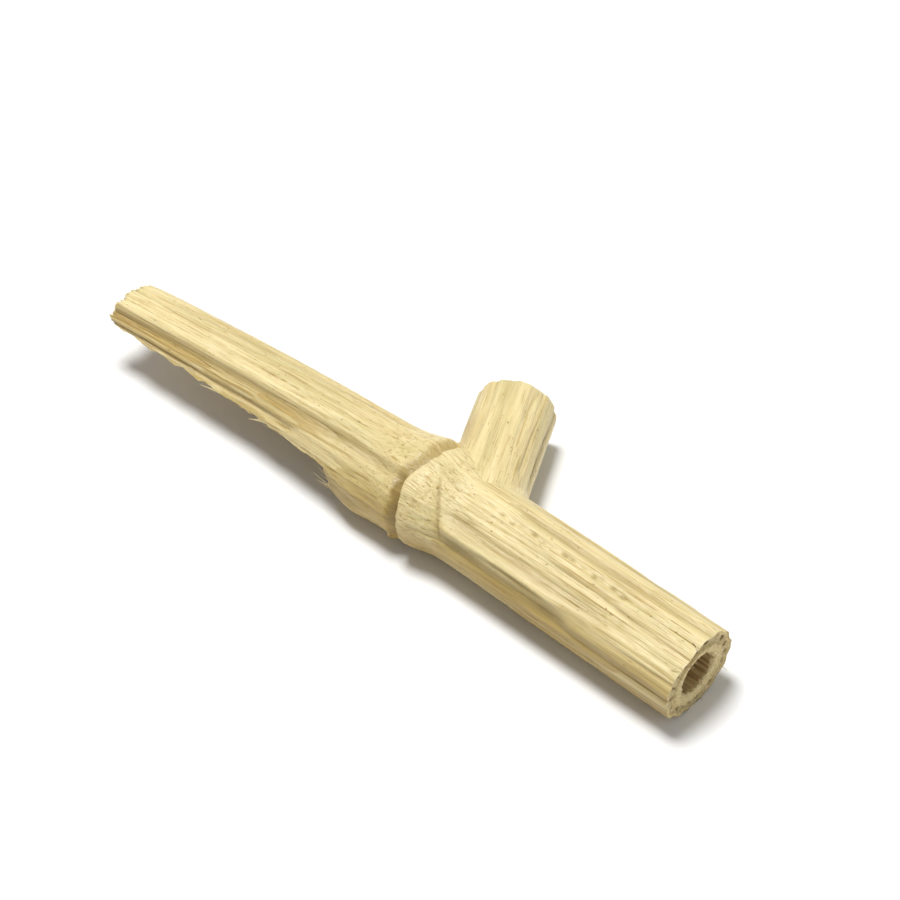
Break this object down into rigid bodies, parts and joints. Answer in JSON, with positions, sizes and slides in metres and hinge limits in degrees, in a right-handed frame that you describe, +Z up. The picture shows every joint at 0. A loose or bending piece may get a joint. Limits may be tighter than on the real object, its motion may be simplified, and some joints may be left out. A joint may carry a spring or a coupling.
{
  "type": "wheatgrass rhizome piece",
  "caption": "Cut piece of dried, straw-coloured rhizome: a ringed node between a whole furrowed internode and a split, hollow one, with a short side shoot.",
  "frame": {"origin": "on the surface that the piece lies on, under the middle of its footprint", "axes": "+X along the stem towards the whole cut end, +Y the way the side shoot leaves, +Z up"},
  "size_m": [0.0196, 0.0058, 0.0026],
  "materials": {
    "straw_skin": "dry straw skin with a slight sheen, furrowed lengthwise, pale where it is broken",
    "shoot_skin": "dry, smoother and paler straw skin with a slight sheen"
  },
  "bodies": {
    "root": {"rhizome": "straw_skin", "side_shoot": "shoot_skin"}
  },
  "joints": []
}
